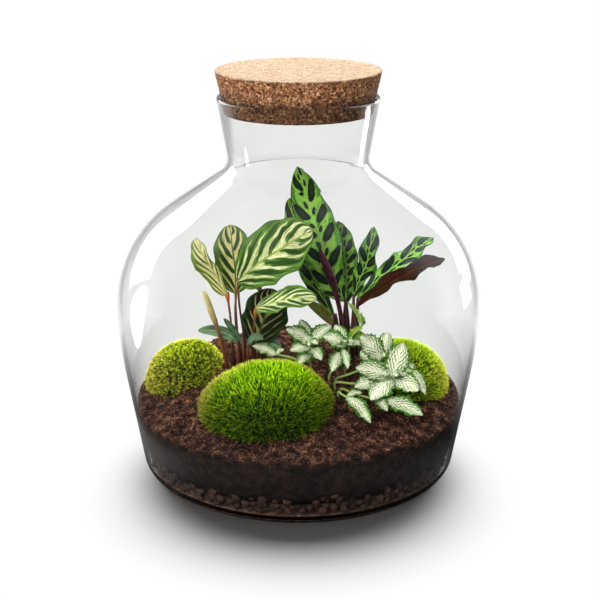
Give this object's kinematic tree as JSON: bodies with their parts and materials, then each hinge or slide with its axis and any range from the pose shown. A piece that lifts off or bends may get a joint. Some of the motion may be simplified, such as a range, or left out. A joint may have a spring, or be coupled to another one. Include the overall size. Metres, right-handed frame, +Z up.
{
  "type": "glass plant terrarium",
  "caption": "Round-bellied glass jar terrarium with a flared neck and cork stopper, planted with clay pebbles, soil, moss cushions, prayer plants and a nerve plant.",
  "frame": {"origin": "middle of the jar's flat base, on the surface that it stands on", "axes": "+Z up through the cork, -Y towards the side that the picture shows"},
  "size_m": [0.27, 0.27, 0.3],
  "materials": {
    "jar_glass": "polished",
    "cork": "matte",
    "clay_pebbles": "matte",
    "soil": "matte",
    "moss": "matte",
    "olive_moss": "matte",
    "peacock_leaf": "satin",
    "grey_leaf": "satin",
    "rolled_leaf": "satin",
    "rattlesnake_leaf": "satin",
    "maroon_leaf": "satin",
    "nerve_leaf": "satin"
  },
  "bodies": {
    "root": {"glass_jar": "jar_glass", "cork_stopper": "cork", "clay_pebble_layer": "clay_pebbles", "potting_soil": "soil", "moss_cushion_front": "moss", "moss_cushion_left": "olive_moss", "moss_cushion_right": "moss", "peacock_plant_leaf_large": "peacock_leaf", "peacock_plant_leaf_upright": "peacock_leaf", "peacock_plant_leaf_folded": "peacock_leaf", "peacock_plant_leaf_back": "peacock_leaf", "peacock_plant_leaf_round": "peacock_leaf", "peacock_plant_leaf_forward": "peacock_leaf", "peacock_plant_young_leaf_left": "grey_leaf", "peacock_plant_young_leaf_slim": "grey_leaf", "peacock_plant_young_leaf_right": "grey_leaf", "peacock_plant_young_leaf_low": "grey_leaf", "rattlesnake_plant_leaf_large": "rattlesnake_leaf", "rattlesnake_plant_leaf_back_right": "rattlesnake_leaf", "rattlesnake_plant_leaf_back_left": "rattlesnake_leaf", "rattlesnake_plant_leaf_upright": "rattlesnake_leaf", "rattlesnake_plant_leaf_right": "rattlesnake_leaf", "rattlesnake_plant_leaf_turned": "maroon_leaf", "rattlesnake_plant_leaf_small": "rattlesnake_leaf", "peacock_plant_rolled_leaf": "rolled_leaf", "rattlesnake_plant_rolled_leaf": "maroon_leaf", "nerve_plant_spray": "nerve_leaf", "nerve_plant_stem_left": "nerve_leaf", "nerve_plant_stem_middle": "nerve_leaf", "nerve_plant_stem_back": "nerve_leaf", "nerve_plant_stem_front": "nerve_leaf", "nerve_plant_stem_outer": "nerve_leaf", "nerve_plant_stem_drooping": "nerve_leaf", "nerve_plant_runner": "nerve_leaf"}
  },
  "joints": []
}
